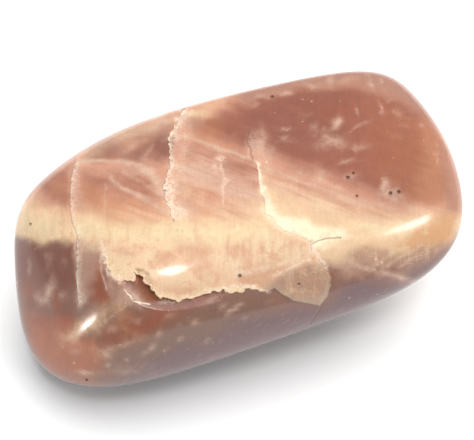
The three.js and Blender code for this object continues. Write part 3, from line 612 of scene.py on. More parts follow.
# Thin streaks: half width, strength, run.
STREAKS = {
    "pale": [
        (0.15, 0.75, [(-4.7, 6.0), (-3.8, 5.8), (-2.6, 5.4), (-1.5, 4.9), (0.9, 4.1)]),
        (0.31, 0.7, [(-4.6, 3.5), (-2.8, 3.0), (-1.0, 2.1), (1.8, 1.2)]),
        (0.13, 0.45, [(-2.9, 3.8), (-0.8, 3.2), (0.3, 2.8), (1.6, 2.5)]),
        (0.16, 0.68, [(-9.0, 2.7), (-8.1, 2.0), (-6.2, 1.0), (-4.8, 0.1)]),
        (0.12, 0.5, [(-8.1, 3.1), (-6.9, 2.5), (-5.4, 1.5)]),
        (0.26, 0.62, [(-6.8, 3.4), (-6.1, 3.0), (-5.5, 2.2), (-5.1, 1.5)]),
        (0.15, 0.78, [(-11.5, 3.9), (-9.6, 4.0), (-8.2, 3.9), (-6.9, 3.7), (-6.0, 3.2)]),
        (0.08, 0.6, [(-1.2, 4.1), (-1.1, 3.3), (-0.8, 2.3), (-0.9, 1.5), (-1.0, 0.6)]),
        (0.17, 0.6, [(2.1, 3.4), (3.7, 2.7), (5.8, 2.0), (7.9, 1.2), (11.0, 0.5)]),
        (0.12, 0.5, [(1.8, 2.2), (3.7, 1.8), (5.4, 1.4), (6.8, 1.0)]),
        (0.12, 0.5, [(4.4, 3.0), (6.5, 2.2), (8.1, 1.5)]),
        (0.07, 0.7, [(-9.3, -2.6), (-9.3, -3.6), (-9.1, -4.4), (-8.9, -5.1)]),
        (0.09, 0.35, [(-7.2, -5.9), (-8.1, -6.5), (-9.1, -7.3)]),
        (0.06, 0.35, [(-9.3, 2.3), (-9.3, 1.1), (-9.2, 0.0)]),
        (0.06, 0.3, [(14.4, 5.6), (14.3, 3.6)]),
        (0.19, 0.35, [(7.3, -2.9), (9.2, -3.6), (11.2, -4.2), (12.7, -4.7)]),
    ],
    "milk_and_glint": [
        (0.22, 0.75, [(0.0, -4.0), (1.2, -3.7), (2.1, -3.5)]),
        (0.17, 0.75, [(2.9, -3.3), (4.2, -2.9), (5.1, -2.5)]),
        (0.1, 0.5, [(5.1, -2.1), (5.6, -2.6), (6.2, -3.3)]),
        # The lip of the trough, thick enough to show white as a painted glint.
        (0.05, 1.0, [(-7.7, -5.0), (-7.3, -5.4), (-7.0, -5.8), (-6.6, -5.9), (-5.9, -6.0)]),
        (0.15, 0.4, [(7.9, -3.3), (8.9, -3.6), (9.6, -3.7)]),
        (0.09, 0.22, [(9.6, -3.7), (10.5, -4.0)]),
        (0.07, 0.14, [(10.5, -4.0), (12.0, -4.5)]),
        (0.09, 0.4, [(10.6, -3.5), (11.9, -2.7), (13.1, -2.0)]),
        (0.09, 0.3, [(11.4, -3.7), (12.8, -2.8), (13.8, -2.1)]),
        (0.08, 0.35, [(9.9, -3.4), (11.0, -2.4)]),
        (0.07, 0.28, [(12.4, -3.4), (13.7, -2.5)]),
        (0.07, 0.25, [(8.9, -3.2), (9.6, -2.5)]),
    ],
    "umber": [
        (0.12, 0.5, [(2.8, 3.0), (4.1, 2.3), (5.4, 1.8), (6.8, 1.3)]),
        (0.09, 0.4, [(2.3, 1.9), (4.3, 1.3)]),
        (0.12, 0.55, [(-0.3, 3.8), (1.6, 3.1)]),
        (0.11, 0.45, [(-0.6, 4.5), (1.1, 3.8)]),
        (0.1, 0.3, [(-0.8, 1.7), (1.5, 0.7)]),
        (0.07, 0.35, [(3.9, 8.8), (6.9, 9.1), (9.5, 8.7)]),
        (0.07, 0.25, [(14.8, 5.6), (15.0, 4.7), (15.0, 3.9)]),
    ],
    "dusk": [
        (0.22, 0.7, [(0.7, -1.7), (0.9, -3.2)]),
        (0.11, 0.7, [(3.2, -1.7), (3.1, -3.0)]),
        (0.1, 0.7, [(2.4, -1.8), (2.5, -3.2)]),
        (0.18, 0.6, [(3.8, -1.8), (3.7, -2.9)]),
        (0.1, 0.6, [(1.6, -1.7), (1.7, -3.2)]),
        (0.15, 0.5, [(-0.6, -1.4), (-0.7, -2.9)]),
        (0.16, 0.4, [(-13.1, 0.7), (-12.9, -1.3)]),
        (0.12, 0.4, [(-12.2, 0.3), (-12.1, -1.7)]),
        (0.18, 0.35, [(-14.4, 0.8), (-14.3, -0.3)]),
        (0.13, 0.4, [(-11.6, 0.1), (-11.5, -1.8)]),
        (0.13, 0.35, [(-10.0, -0.4), (-9.9, -1.7)]),
        (0.16, 0.35, [(-8.9, -0.6), (-8.7, -1.8)]),
        (0.13, 0.3, [(-7.5, -0.4), (-7.5, -1.7)]),
        (0.13, 0.3, [(-6.0, -0.6), (-6.0, -1.5)]),
        (0.18, 0.3, [(-2.8, -0.6), (-2.7, -1.8)]),
    ],
    # Short upright streaks of painted sheen in the band.
    "bright": [
        (0.19, 0.8, [(2.0, -0.8), (2.1, -2.6)]),
        (0.13, 0.7, [(2.8, -1.4), (2.8, -2.8)]),
        (0.22, 0.8, [(0.0, -0.8), (0.1, -2.1), (-0.2, -3.1)]),
        (0.12, 0.7, [(4.4, -1.7), (4.4, -2.6)]),
        (0.11, 0.5, [(1.2, -1.1), (1.3, -2.3)]),
        (0.19, 0.6, [(-13.7, 0.3), (-13.6, -1.9)]),
        (0.15, 0.6, [(-12.7, 0.0), (-12.6, -1.4)]),
        (0.16, 0.5, [(-15.1, 0.3), (-15.0, -1.5)]),
        (0.15, 0.6, [(-8.8, -2.1), (-8.5, -3.7)]),
        (0.11, 0.5, [(-8.2, -2.3), (-8.0, -3.8)]),
        (0.1, 0.5, [(-7.7, -3.1), (-7.5, -4.1)]),
    ],
    # A dark red nick by the tongue.
    "ember_and_shadow": [
        (0.12, 0.9, [(6.4, -3.8), (6.6, -4.2), (6.6, -4.7)]),
    ],
    "frost": [
        (0.1, 0.45, [(-1.2, 4.1), (-1.1, 3.3), (-0.8, 2.3), (-0.9, 1.5), (-1.0, 0.9)]),
        (0.18, 0.9, [(-9.3, -1.7), (-9.2, -2.3), (-9.0, -3.2), (-8.8, -3.8), (-8.4, -4.2), (-7.9, -4.4)]),
        (0.13, 0.9, [(-2.1, -5.2), (-1.1, -5.0), (-0.3, -4.8), (0.6, -4.9), (1.5, -5.0), (2.2, -5.2)]),
        (0.1, 0.7, [(2.4, -4.2), (2.8, -3.9), (3.7, -3.5), (4.5, -3.2), (5.1, -3.0)]),
        (0.13, 0.7, [(5.3, -2.5), (5.6, -2.8), (6.1, -3.2), (6.3, -3.6)]),
        (0.1, 0.6, [(-5.2, -6.0), (-3.9, -5.8), (-2.5, -5.5)]),
        (0.09, 0.4, [(-11.2, -0.4), (-11.1, -2.4), (-11.0, -4.4)]),
    ],
}
PAINTED = ("rust", "umber", "amber", "copper", "orange", "rose", "strip", "gleam", "bright", "glow", "dusk",
           "facet", "facet_top", "russet", "clay", "mauve", "moss", "bloom", "haze", "honey", "ember_and_shadow", "highlight_halo",
           "milk_and_glint", "pale", "streaky", "comb")

# The layer grows peachier below the band: where that starts and where it is full, down the drawing.
PLATE_TOP = 0.9
PLATE_FULL = 2.4
# How far edge effects reach: the bright fringe, the tongue's rim and dark line, and the shade along the chip
# edge, on the layer and off it.
FRINGE_RUN = 0.28
TONGUE_RIM = 0.4
TONGUE_LINE = 0.06
UNDERCUT_RUN = (0.04, 0.14)
# Painted shade darkens the skin as it turns under: full where it faces down by this much.
UNDERSIDE_SHADE_TURN = 0.7

# How each crack shows, as half width and strength: its dark line, its lit crumbs and the frost to its right.
CRACK_LOOKS = {
    "left": {"line": (0.045, 0.3), "crumbs": (0.08, 0.6), "frost": (0.34, 0.70)},
    "middle": {"line": (0.050, 0.45), "crumbs": (0.13, 0.9), "frost": (0.55, 0.85)},
    "right": {"line": (0.055, 0.60), "crumbs": (0.08, 0.9), "frost": (0.30, 0.50)},
    "low": {"line": (0.055, 0.8), "crumbs": (0.05, 0.0), "frost": (0.10, 0.0)},
    "hook": {"line": (0.050, 0.6), "crumbs": (0.05, 0.0), "frost": (0.10, 0.0)},
}
# The upper end of the right crack is dark and clean. Its crumbs begin below: up where they are full, and up
# where there are none. Among the crumbs its line keeps a share of its strength.
CLEAN_FROM = (3.2, 4.4)
CRUMBLED_LINE = 0.3
# How softly a crack's crumbs and frost end at its two ends.
END_FADE = 0.3
PIT_SHADE = 0.85
# How far the glow, the brightest painted sheen, reaches out of the right crack, down its length: up, reach.
GLOW_REACH = [(-1.0, 1.6), (0.4, 0.8), (1.0, 0.5), (2.5, 0.3), (4.4, 0.1)]

# Where the layers go on round the back: how far the drawing slides there and how it comes in, how the front's
# own marks go out, and the cracks that run on, with the half width and strength of their crumbs.
BACK_SLIDE = (-1.5, 2.5)
SLIDE_FADE = (-0.8, 0.0)
SEEN_FADE = (-0.25, 0.0)
BACK_CRUMBS = (0.25, 0.6)
BACK_CRACKS = [
    [(-11.7, 4.0), (-11.2, 1.5), (-10.4, 0.2), (-9.9, -2.5)],
    [(-3.8, 7.8), (-3.0, 5.2), (-3.4, 3.0), (-2.2, 0.4)],
    [(5.1, -7.9), (5.8, -5.6), (5.2, -3.8)],
]
# Streaks thinner than this get finer cells as far as their reach, unless the cells are small already.
THIN = 0.12
STREAK_REACH = 0.2
SMALL_CELL = 0.15
# Clouds that make the zones' borders drift: their size and how far they push.
CLOUDS = [(2.2, 0.30), (0.8, 0.16), (0.3, 0.06)]


def zone(spots, marks):
    """Large zones with soft borders."""
    bare = np.ones(len(spots))
    for softness, strength, outline in marks:
        gap = distance_to(spots, outline + outline[:1])
        depth = np.where(inside(spots, outline), gap, -gap)
        bare *= 1.0 - strength * rise(depth, -softness, softness)
    return 1.0 - bare


def patches(spots, marks):
    """Soft oval patches laid over each other."""
    bare = np.ones(len(spots))
    for right, up, length, width, turn, strength in marks:
        away = spots - (right, up)
        lie = np.array([math.cos(math.radians(turn)), math.sin(math.radians(turn))])
        along = away @ lie / length
        across = (away[:, 1] * lie[0] - away[:, 0] * lie[1]) / width
        bare *= 1.0 - strength * np.exp(-(along ** 2 + across ** 2))
    return 1.0 - bare


def streaks(spots, marks):
    """Thin lines that fade to both sides."""
    bare = np.ones(len(spots))
    for width, strength, run in marks:
        bare *= 1.0 - strength * np.exp(-((distance_to(spots, run) / width) ** 2))
    return 1.0 - bare


def lay(name, amount):
    """Stores one number for each corner of the skin, for the material to read."""
    layer = stone.data.attributes.new(name, "FLOAT", "POINT")
    layer.data.foreach_set("value", amount.astype(np.float32))


def soft_line(spots, line):
    """The height of a line over each spot and its softness there."""
    rights, ups, softs = np.array(line).T
    return np.interp(spots[:, 0], rights, ups), np.interp(spots[:, 0], rights, softs)


def beside(spots, run):
    """How far each spot lies to the right of a crack, and whether it is level with it."""
    climb = np.array(run)[::-1]
    side = spots[:, 0] - np.interp(spots[:, 1], climb[:, 1], climb[:, 0])
    level = rise(spots[:, 1], climb[0, 1] - END_FADE, climb[0, 1] + END_FADE)
    level *= 1.0 - rise(spots[:, 1], climb[-1, 1] - END_FADE, climb[-1, 1] + END_FADE)
    return side, level


thin_runs = [run for marks in STREAKS.values() for width, _, run in marks if width < THIN]
centres = read_centres()
sizes = np.empty(len(centres), np.float32)
stone.data.polygons.foreach_get("area", sizes)
close = np.min([distance_to(drawn(centres), run) for run in thin_runs], axis=0) < STREAK_REACH
close &= (skin_out(centres) @ drawing_out > 0.0) & (sizes > (SMALL_CELL * MM) ** 2)
divide("polygons", close, 1)

points = read_points()
facing = skin_out(points) @ drawing_out
seen = rise(facing, *SEEN_FADE)
smooth_spots = drawn(points) + (1.0 - rise(facing, *SLIDE_FADE))[:, None] * BACK_SLIDE
spots = jagged(smooth_spots)
cloudy = grained(smooth_spots, CLOUDS)
fine_spots = (smooth_spots + spots) / 2.0
ups = spots[:, 1]
on_layer = inside(spots, layer_outline) & (facing > 0.0)
edge_gap = distance_to(spots, LAYER_LEFT[1:] + LAYER_EDGE + LAYER_MIDDLE)
tongue_gap = distance_to(spots, TONGUE_EDGE)

foot, foot_soft = soft_line(cloudy, BAND_FOOT)
head, head_soft = soft_line(cloudy, BAND_HEAD)
# The cream band, which is painted sheen, and the cream clouds.
lay("cream", 1.0 - (1.0 - rise(head - cloudy[:, 1], -head_soft, head_soft))
    * (1.0 - seen * patches(cloudy, PATCHES["cream"])))
lay("plate", on_layer * rise(-cloudy[:, 1], PLATE_TOP, PLATE_FULL))
lay("below", rise(foot - cloudy[:, 1], -foot_soft, foot_soft) * ~on_layer)
lay("trough", (inside(spots, LAYER_EDGE + TROUGH_FOOT) & (facing > 0.0)).astype(float))
lay("fringe", seen * on_layer * np.exp(-((edge_gap / FRINGE_RUN) ** 2)))
chip_gap = distance_to(spots, LAYER_EDGE)
lay("undercut", seen * np.exp(-((chip_gap / np.where(on_layer, *UNDERCUT_RUN)) ** 2)))
# Painted shade on the underside.
lay("underside_shade", rise(-skin_out(points)[:, 2], 0.0, UNDERSIDE_SHADE_TURN))
lay("tongue_rim", seen * on_layer * np.exp(-((tongue_gap / TONGUE_RIM) ** 2)))
lay("tongue_line", seen * np.exp(-((tongue_gap / TONGUE_LINE) ** 2)))
lay("tongue", on_layer * zone(spots, ZONES["tongue"]))

side, level = beside(spots, CRACKS["right"])
reach = np.interp(ups, *np.array(GLOW_REACH).T)
crack_glow = level * (side > 0.0) * np.exp(-((side / reach) ** 2)) * seen * (1.0 - rise(ups, *CLEAN_FROM))
for name in PAINTED:
    bare = (1.0 - zone(cloudy, ZONES.get(name, []))) * (1.0 - seen * patches(cloudy, PATCHES.get(name, [])))
    bare *= 1.0 - seen * streaks(fine_spots, STREAKS.get(name, []))
    if name == "glow":
        bare *= 1.0 - crack_glow
    lay(name, 1.0 - bare)

lit = np.zeros(len(spots))
frost = np.zeros(len(spots))
shade = np.zeros(len(spots))
for name, run in CRACKS.items():
    look = CRACK_LOOKS[name]
    near_spots = smooth_spots + CRACK_JAGS[name] * (spots - smooth_spots)
    gap = distance_to(near_spots, run)
    side, level = beside(near_spots, run)
    right_side = level * (side > 0.0)
    line = look["line"][1] * np.exp(-((gap / look["line"][0]) ** 2))
    if name == "right":
        clean = rise(ups, *CLEAN_FROM)
        right_side = right_side * (1.0 - clean)
        line *= CRUMBLED_LINE + (1.0 - CRUMBLED_LINE) * clean
    shade = np.maximum(shade, line)
    lit = np.maximum(lit, look["crumbs"][1] * right_side * np.exp(-((gap / look["crumbs"][0]) ** 2)))
    frost = np.maximum(frost, look["frost"][1] * right_side * np.exp(-((side / look["frost"][0]) ** 2)))
for right, up, radius in PITS:
    gap = np.hypot(*(smooth_spots - (right, up)).T)
    shade = np.maximum(shade, PIT_SHADE * np.exp(-((gap / radius) ** 2)))
back_gap = np.min([distance_to(spots, run) for run in BACK_CRACKS], axis=0)
bare = (1.0 - frost) * (1.0 - patches(cloudy, PATCHES["frost"]))
frost = 1.0 - bare * (1.0 - streaks(spots, STREAKS["frost"]))
lay("frost", frost * seen)
lay("lit", np.where(facing > 0.0, lit, BACK_CRUMBS[1] * np.exp(-((back_gap / BACK_CRUMBS[0]) ** 2))))
lay("shade", shade * seen)
lay("hidden", 1.0 - seen)

# ---------------------------------------------------------------- the polish
# Clear feldspar over milky layers: the colours lie a little under the skin, which is polished like glass.
# Grain of many kinds breaks up the borders of the zones, and where the stone broke it is matt and crumbly.

moonstone = bpy.data.materials.new("peach_moonstone")
moonstone.use_nodes = True
nodes = moonstone.node_tree.nodes
links = moonstone.node_tree.links
shader = nodes["Principled BSDF"]


def part(kind, settings=None, sockets=None):
    """Adds one node, with its settings and what feeds its sockets."""
    made = nodes.new(kind)
    for name, value in (settings or {}).items():
        setattr(made, name, value)
    for name, value in (sockets or {}).items():
        if isinstance(value, bpy.types.NodeSocket):
            links.new(value, made.inputs[name])
        else:
            made.inputs[name].default_value = value
    return made


def maths(kind, first, second=0.5):
    return part("ShaderNodeMath", {"operation": kind}, {0: first, 1: second}).outputs[0]


def step(value, low, high):
    """A soft step from 0 at low to 1 at high."""
    made = part("ShaderNodeMapRange", {"interpolation_type": "SMOOTHSTEP"},
                {"Value": value, "From Min": low, "From Max": high})
    return made.outputs["Result"]


# The sockets of a mix node that hold colours: what lies under, what lies over, and the result.
MIX_UNDER, MIX_OVER, MIX_RESULT = 6, 7, 2


def over(under, colour, *shares):
    """Lays a colour over another, by the product of its shares."""
    share = shares[0]
    for other in shares[1:]:
        share = maths("MULTIPLY", share, other)
    made = part("ShaderNodeMix", {"data_type": "RGBA"}, {"Factor": share})
    for socket, value in ((made.inputs[MIX_UNDER], under), (made.inputs[MIX_OVER], colour)):
        if isinstance(value, bpy.types.NodeSocket):
            links.new(value, socket)
        else:
            socket.default_value = (*value, 1.0)
    return made.outputs[MIX_RESULT]


# The grain of the stone, in mm along the drawing plane's own directions.
drawing_axes = Matrix(np.array([drawing_right, drawing_up, drawing_out]).tolist())
place = part("ShaderNodeTexCoord").outputs["Object"]
in_drawing = part("ShaderNodeMapping", {"vector_type": "POINT"},
                  {"Vector": place, "Rotation": drawing_axes.to_euler(), "Scale": (1.0 / MM,) * 3})


def grain(length, width, turn=0.0, detail=5.0, roughness=0.6):
    """Noise about 0.5, with grains of one length and width in mm, turned in the drawing plane."""
    laid = part("ShaderNodeMapping", {"vector_type": "TEXTURE"},
                {"Vector": in_drawing.outputs[0], "Rotation": (0.0, 0.0, math.radians(turn)),
                 "Scale": (length, width, length)})
    made = part("ShaderNodeTexNoise", {"noise_dimensions": "3D"},
                {"Vector": laid.outputs[0], "Scale": 1.0, "Detail": detail, "Roughness": roughness})
    return made.outputs["Fac"]


clouds = grain(11.0, 3.2, turn=-21.0, detail=5.0, roughness=0.62)
mottle = grain(0.9, 0.9, detail=7.0, roughness=0.66)
blotches = grain(1.9, 1.3, detail=4.0)
grit = grain(0.30, 0.30, detail=3.0, roughness=0.7)
sand = grain(0.14, 0.14, detail=3.0, roughness=0.7)
fibres = grain(1.5, 0.11, turn=90.0, detail=3.0)
strands = grain(1.7, 0.34, turn=90.0, detail=4.0, roughness=0.7)
drifts = grain(4.5, 0.50, turn=-21.0, detail=4.0, roughness=0.5)
dashes = grain(0.7, 0.20, turn=42.0, detail=3.0)


def amount(name):
    return part("ShaderNodeAttribute", {"attribute_name": name}).outputs["Fac"]


def ragged(name, grain_kind, gain):
    """A zone's amount, its soft border broken up by the grain."""
    share = amount(name)
    border = maths("MULTIPLY", share, maths("SUBTRACT", 1.0, share))
    swing = maths("MULTIPLY", maths("SUBTRACT", grain_kind, 0.5), gain)
    return maths("ADD", share, maths("MULTIPLY", border, swing))


PEACH = (0.530, 0.260, 0.166)
ZONE_COLOURS = {
    "rust": (0.262, 0.086, 0.052),
    "umber": (0.200, 0.068, 0.046),
    "amber": (0.330, 0.118, 0.054),
    "copper": (0.400, 0.168, 0.088),
    "orange": (0.510, 0.238, 0.128),
    "rose": (0.450, 0.225, 0.160),
    "strip": (0.305, 0.148, 0.106),
    # Cream, gleam, bright and glow are the band's painted sheen; cream also tints clouds.
    "cream": (0.650, 0.438, 0.266),
    "plate": (0.690, 0.462, 0.300),
    "gleam": (0.820, 0.560, 0.350),
    "bright": (0.680, 0.545, 0.330),
    "glow": (0.820, 0.720, 0.500),
    "dusk": (0.530, 0.290, 0.175),
    "below": (0.219, 0.105, 0.072),
    "facet": (0.215, 0.084, 0.054),
    "facet_top": (0.185, 0.058, 0.037),
    "russet": (0.270, 0.060, 0.020),
    "clay": (0.375, 0.105, 0.040),
    "mauve": (0.152, 0.076, 0.079),
    "moss": (0.175, 0.092, 0.060),
    "trough": (0.255, 0.118, 0.088),
    "bloom": (0.380, 0.215, 0.145),
    "haze": (0.385, 0.212, 0.152),
    "honey": (0.560, 0.290, 0.140),
    "tongue": (0.370, 0.208, 0.138),
    "tongue_rim": (0.380, 0.258, 0.175),
    # Painted shadow in the notch, and the dark red nick by the tongue.
    "ember_and_shadow": (0.230, 0.072, 0.026),
    # Painted halo round the lower left highlight.
    "highlight_halo": (0.600, 0.370, 0.215),
    "milk_and_glint": (0.680, 0.510, 0.380),
}
DRIFTING = ("rust", "umber", "rose", "cream", "amber", "copper", "orange")
DRIFT_GAIN = 3.5
MOTTLE_GAIN = 5.0
PALE_GAIN = 6.0
PALE = (0.540, 0.350, 0.255)
ROSY = (0.590, 0.370, 0.270)
WARM = (0.400, 0.180, 0.110)
CREAM_COMB = (0.680, 0.490, 0.330)
DASH = (0.330, 0.220, 0.170)
FRINGE = (0.780, 0.600, 0.380)
FROST = (0.780, 0.610, 0.470)
LIT = (0.800, 0.680, 0.530)
NOTCH = (0.480, 0.190, 0.110)
SHADE = (0.160, 0.070, 0.045)
UNDERSIDE_SHADE = (0.120, 0.062, 0.055)
UNDERSIDE_SHADE_SHARE = 0.6
GRAIN_SHADES = {"mottle": (mottle, 0.32), "sand": (sand, 0.26), "fibres": (fibres, 0.20)}

colour = PEACH
for name, tint in ZONE_COLOURS.items():
    if name in DRIFTING:
        colour = over(colour, tint, ragged(name, drifts, DRIFT_GAIN))
    else:
        colour = over(colour, tint, ragged(name, mottle, MOTTLE_GAIN))
colour = over(colour, PALE, ragged("pale", mottle, PALE_GAIN))

hidden = amount("hidden")
# The band of painted sheen, without the front side below it.
band = maths("SUBTRACT", amount("cream"), amount("below"))
streaky = amount("streaky")
comb = amount("comb")
plate = amount("plate")
bare_plate = maths("MULTIPLY", plate, maths("SUBTRACT", 1.0, amount("tongue")))
# Tints that come and go with the grain: tint, where, grain, between which values it comes in, and strength.
# The hidden sides have clouds. In front, drifts of rosy milk run down to the right between the cracks, and
# short strands stand up from the plate. Where the first value is the higher one, the tint fills the gaps.
BACK_TINTS = [
    (ZONE_COLOURS["rust"], hidden, clouds, 0.50, 0.62, 0.60),
    (ZONE_COLOURS["cream"], hidden, clouds, 0.46, 0.34, 0.45),
    (ROSY, hidden, drifts, 0.52, 0.70, 0.25),
]
FRONT_TINTS = [
    # The band's painted sheen, broken up by the grain.
    (ZONE_COLOURS["orange"], band, mottle, 0.50, 0.66, 0.30),
    (ZONE_COLOURS["bright"], band, blotches, 0.52, 0.66, 0.35),
    (ROSY, streaky, drifts, 0.46, 0.68, 0.60),
    (WARM, streaky, drifts, 0.50, 0.34, 0.30),
    (CREAM_COMB, comb, strands, 0.48, 0.64, 0.75),
    (ZONE_COLOURS["dusk"], comb, strands, 0.46, 0.36, 0.35),
    (ZONE_COLOURS["dusk"], bare_plate, mottle, 0.47, 0.62, 0.55),
    (PALE, amount("rust"), blotches, 0.58, 0.78, 0.18),
    (DASH, amount("mauve"), dashes, 0.57, 0.70, 0.25),
    (LIT, plate, sand, 0.60, 0.70, 0.20),
]


def tinted(colour, tints):
    """Lays each tint where its amount and its grain meet."""
    for tint, where, kind, low, high, strength in tints:
        colour = over(colour, tint, where, step(kind, low, high), strength)
    return colour


colour = tinted(colour, BACK_TINTS)
# Painted shade, darker as the skin turns under.
colour = over(colour, UNDERSIDE_SHADE, amount("underside_shade"), UNDERSIDE_SHADE_SHARE)
colour = tinted(colour, FRONT_TINTS)

# The broken edges and cracks: between which values of the grain their crumbs come in, the share of the mark
# that shows even between the crumbs, and the strength of the plain dark lines.
FRINGE_SAND = (0.42, 0.58)
FRINGE_BETWEEN = 0.4
FROST_GRIT = (0.40, 0.60)
FROST_SAND = (0.46, 0.56)
FROST_BETWEEN = 0.2
LIT_GRIT = (0.40, 0.62)
NOTCH_SHARE = 0.80
TONGUE_LINE_SHARE = 0.40
# Where the milk is this thick it shows white: a painted glint on the lip of the trough.
GLINT_CORE = (0.86, 0.98)


def crumbly(crumbs, between):
    """A share that is full on the crumbs and less between them."""
    return maths("ADD", maths("MULTIPLY", crumbs, 1.0 - between), between)


specks = maths("MULTIPLY", maths("ADD", step(grit, *FROST_GRIT), step(sand, *FROST_SAND)), 0.5)
colour = over(colour, FRINGE, amount("fringe"), crumbly(step(sand, *FRINGE_SAND), FRINGE_BETWEEN))
colour = over(colour, NOTCH, amount("undercut"), NOTCH_SHARE)
colour = over(colour, SHADE, amount("tongue_line"), TONGUE_LINE_SHARE)
colour = over(colour, FROST, amount("frost"), crumbly(specks, FROST_BETWEEN))
colour = over(colour, SHADE, amount("shade"))
colour = over(colour, LIT, amount("lit"), step(grit, *LIT_GRIT))
# A painted glint on the lip of the trough.
colour = over(colour, LIT, step(amount("milk_and_glint"), *GLINT_CORE))

# Specks of light where small flakes lie flat under the skin: how many to the mm, how far each reaches, the
# mottled places that have them, and how bright they are.
FLAKES_TO_MM = 1.1
FLAKE_REACH = (0.13, 0.03)
FLAKE_PLACES = (0.50, 0.62)
FLAKE_SHARE = 0.45
flakes = part("ShaderNodeTexVoronoi", {"feature": "F1"},
              {"Vector": in_drawing.outputs[0], "Scale": FLAKES_TO_MM})
flake = step(flakes.outputs["Distance"], *FLAKE_REACH)
colour = over(colour, LIT, flake, step(mottle, *FLAKE_PLACES), FLAKE_SHARE)

brightness = 1.0
for fine, share in GRAIN_SHADES.values():
    swing = maths("MULTIPLY", maths("SUBTRACT", fine, 0.5), share)
    brightness = maths("ADD", swing, brightness)
shaded = part("ShaderNodeVectorMath", {"operation": "SCALE"}, {0: colour, "Scale": brightness})
links.new(shaded.outputs[0], shader.inputs["Base Color"])

# Broken places are rough and grainy. Elsewhere the polish is even, a little duller where the grain is soft.
BROKEN = {"plate": 0.05, "fringe": 0.6, "frost": 0.3, "trough": 0.8}
ROUGHNESS = 0.22
BUMP = {"Strength": 0.5, "Distance": 0.00012}
# How strong the polish and its clear coat are, how matt the trough is, and how much more so at its ember
# and its painted shadow.
SHINE = 0.5
COAT = 0.4
TROUGH_MATT = 0.4
EMBER_SHADOW_MATT = 0.5
broken = amount("lit")
for name, share in BROKEN.items():
    broken = maths("ADD", broken, maths("MULTIPLY", amount(name), share))
roughness = maths("ADD", maths("MULTIPLY", broken, ROUGHNESS), maths("MULTIPLY", mottle, ROUGHNESS))
links.new(roughness, shader.inputs["Roughness"])
bump = part("ShaderNodeBump", None, {**BUMP, "Height": maths("MULTIPLY", broken, sand)})
links.new(bump.outputs[0], shader.inputs["Normal"])
dullness = maths("ADD", maths("MULTIPLY", amount("ember_and_shadow"), EMBER_SHADOW_MATT), TROUGH_MATT)
gloss = maths("SUBTRACT", 1.0, maths("MULTIPLY", amount("trough"), dullness))
links.new(maths("MULTIPLY", gloss, COAT), shader.inputs["Coat Weight"])
links.new(maths("MULTIPLY", gloss, SHINE), shader.inputs["Specular IOR Level"])
# Values that are the same all over.
POLISH = {
    "IOR": 1.52, "Coat Roughness": 0.28, "Coat IOR": 1.5,
    "Subsurface Weight": 0.12, "Subsurface Radius": (1.0, 0.6, 0.4), "Subsurface Scale": 0.0012,
}
for name, value in POLISH.items():
    shader.inputs[name].default_value = value
stone.data.materials.append(moonstone)

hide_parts("moonstone")
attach(stone, "root")

# ---------------------------------------------------------------- the table
# A plain white table top, wide enough to fill every view. It is matt, so that it takes a soft shadow and
# shows no mirror image.

TABLE_RADIUS = 3.0
TABLE_SIDES = 96
TABLE_WHITE = (0.9, 0.9, 0.9, 1.0)

bpy.ops.object.select_all(action="DESELECT")
bpy.ops.mesh.primitive_circle_add(vertices=TABLE_SIDES, radius=TABLE_RADIUS, fill_type="NGON",
                                  location=(0.0, 0.0, 0.0))
table = bpy.context.object
table.name = "table_top"
white_board = bpy.data.materials.new("white_board")
white_board.use_nodes = True
board = white_board.node_tree.nodes["Principled BSDF"]
board.inputs["Base Color"].default_value = TABLE_WHITE
board.inputs["Roughness"].default_value = 0.9
board.inputs["Specular IOR Level"].default_value = 0.0
table.data.materials.append(white_board)

# ---------------------------------------------------------------- the light
# A wide soft light overhead throws the shadow and a pale room fills it. Three small lamps stand where their
# mirror images fall on the stone as its highlights.

ROOM_LIGHT = 0.54
ROOM_COLOUR = (0.93, 0.97, 1.0)
OVERHEAD = {"side": 1.3, "power": 14.3, "compass": 21.0, "tilt": 66.0, "distance": 1.0}
OVERHEAD_COLOUR = (1.0, 0.985, 0.96)
LAMP_DISTANCE = 0.6
# Each lamp is an oval: compass and tilt of its place, length and width in metres, turn in degrees, and how
# bright it is.
LAMPS = {
    "left_lamp": {"compass": -174.8, "tilt": 3.8, "oval": (0.066, 0.023), "turn": -128.8, "glare": 30.0},
    "front_lamp": {"compass": -102.0, "tilt": 74.6, "oval": (0.140, 0.085), "turn": 124.5, "glare": 16.0},
    "right_lamp": {"compass": -57.5, "tilt": 43.0, "oval": (0.120, 0.044), "turn": 161.0, "glare": 14.0},
}


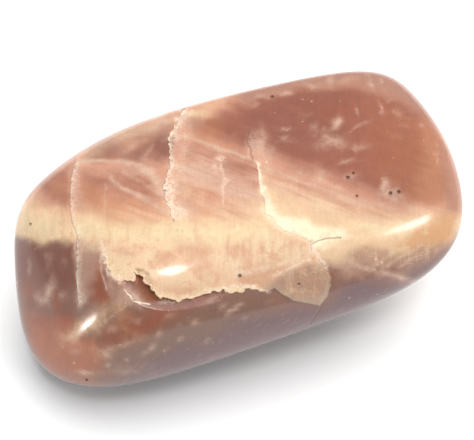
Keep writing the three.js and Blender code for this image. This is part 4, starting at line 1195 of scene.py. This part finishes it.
def aim_light(name, shape, sizes, power, compass, tilt, distance, turn=0.0):
    """A flat light that looks at the heart of the stone, its long side turned in its own plane."""
    light = bpy.data.lights.new(name, "AREA")
    light.shape = shape
    light.size, light.size_y = sizes
    light.energy = power
    lamp = bpy.data.objects.new(name, light)
    bpy.context.scene.collection.objects.link(lamp)
    away = direction(compass, tilt)
    level = direction(compass + 90.0, 0.0)
    climb = np.cross(away, level)
    long_side = math.cos(math.radians(turn)) * level + math.sin(math.radians(turn)) * climb
    lamp_axes = Matrix(np.array([long_side, np.cross(away, long_side), away]).T.tolist())
    lamp.matrix_world = Matrix.Translation(Vector(HEART * MM + away * distance)) @ lamp_axes.to_4x4()
    return lamp


overhead = aim_light("overhead", "DISK", (OVERHEAD["side"],) * 2, OVERHEAD["power"],
                     OVERHEAD["compass"], OVERHEAD["tilt"], OVERHEAD["distance"])
overhead.data.color = OVERHEAD_COLOUR
overhead.visible_glossy = False
for name, lamp in LAMPS.items():
    oval_area = math.pi / 4.0 * lamp["oval"][0] * lamp["oval"][1]
    aim_light(name, "ELLIPSE", lamp["oval"], lamp["glare"] * math.pi * oval_area,
              lamp["compass"], lamp["tilt"], LAMP_DISTANCE, lamp["turn"])

world = bpy.data.worlds.new("pale_room")
world.use_nodes = True
world.node_tree.nodes["Background"].inputs["Color"].default_value = (*ROOM_COLOUR, 1.0)
world.node_tree.nodes["Background"].inputs["Strength"].default_value = ROOM_LIGHT
bpy.context.scene.world = world
bpy.context.scene.view_settings.view_transform = "Standard"

# ---------------------------------------------------------------- the camera
# It looks down on the stone from the front left, nearly square to the drawing plane, with the whole stone in
# the frame. Distances are in mm.

CAMERA_COMPASS = -22.927
CAMERA_TILT = 56.289
CAMERA_DISTANCE = 96.823
CAMERA_AIM = (0.010, -0.310)
LENS = 100.0
SENSOR = 36.0

camera_out = direction(CAMERA_COMPASS - 90.0, CAMERA_TILT)
camera_right = direction(CAMERA_COMPASS, 0.0)
camera_up = np.cross(camera_out, camera_right)
camera_place = (HEART + CAMERA_DISTANCE * camera_out
                + CAMERA_AIM[0] * camera_right + CAMERA_AIM[1] * camera_up)

camera_data = bpy.data.cameras.new("camera")
camera_data.lens = LENS
camera_data.sensor_width = SENSOR
camera_data.clip_start = 0.001
camera = bpy.data.objects.new("camera", camera_data)
bpy.context.scene.collection.objects.link(camera)
axes = Matrix(np.array([camera_right, camera_up, camera_out]).T.tolist())
camera.matrix_world = Matrix.Translation(Vector(camera_place * MM)) @ axes.to_4x4()
bpy.context.scene.camera = camera
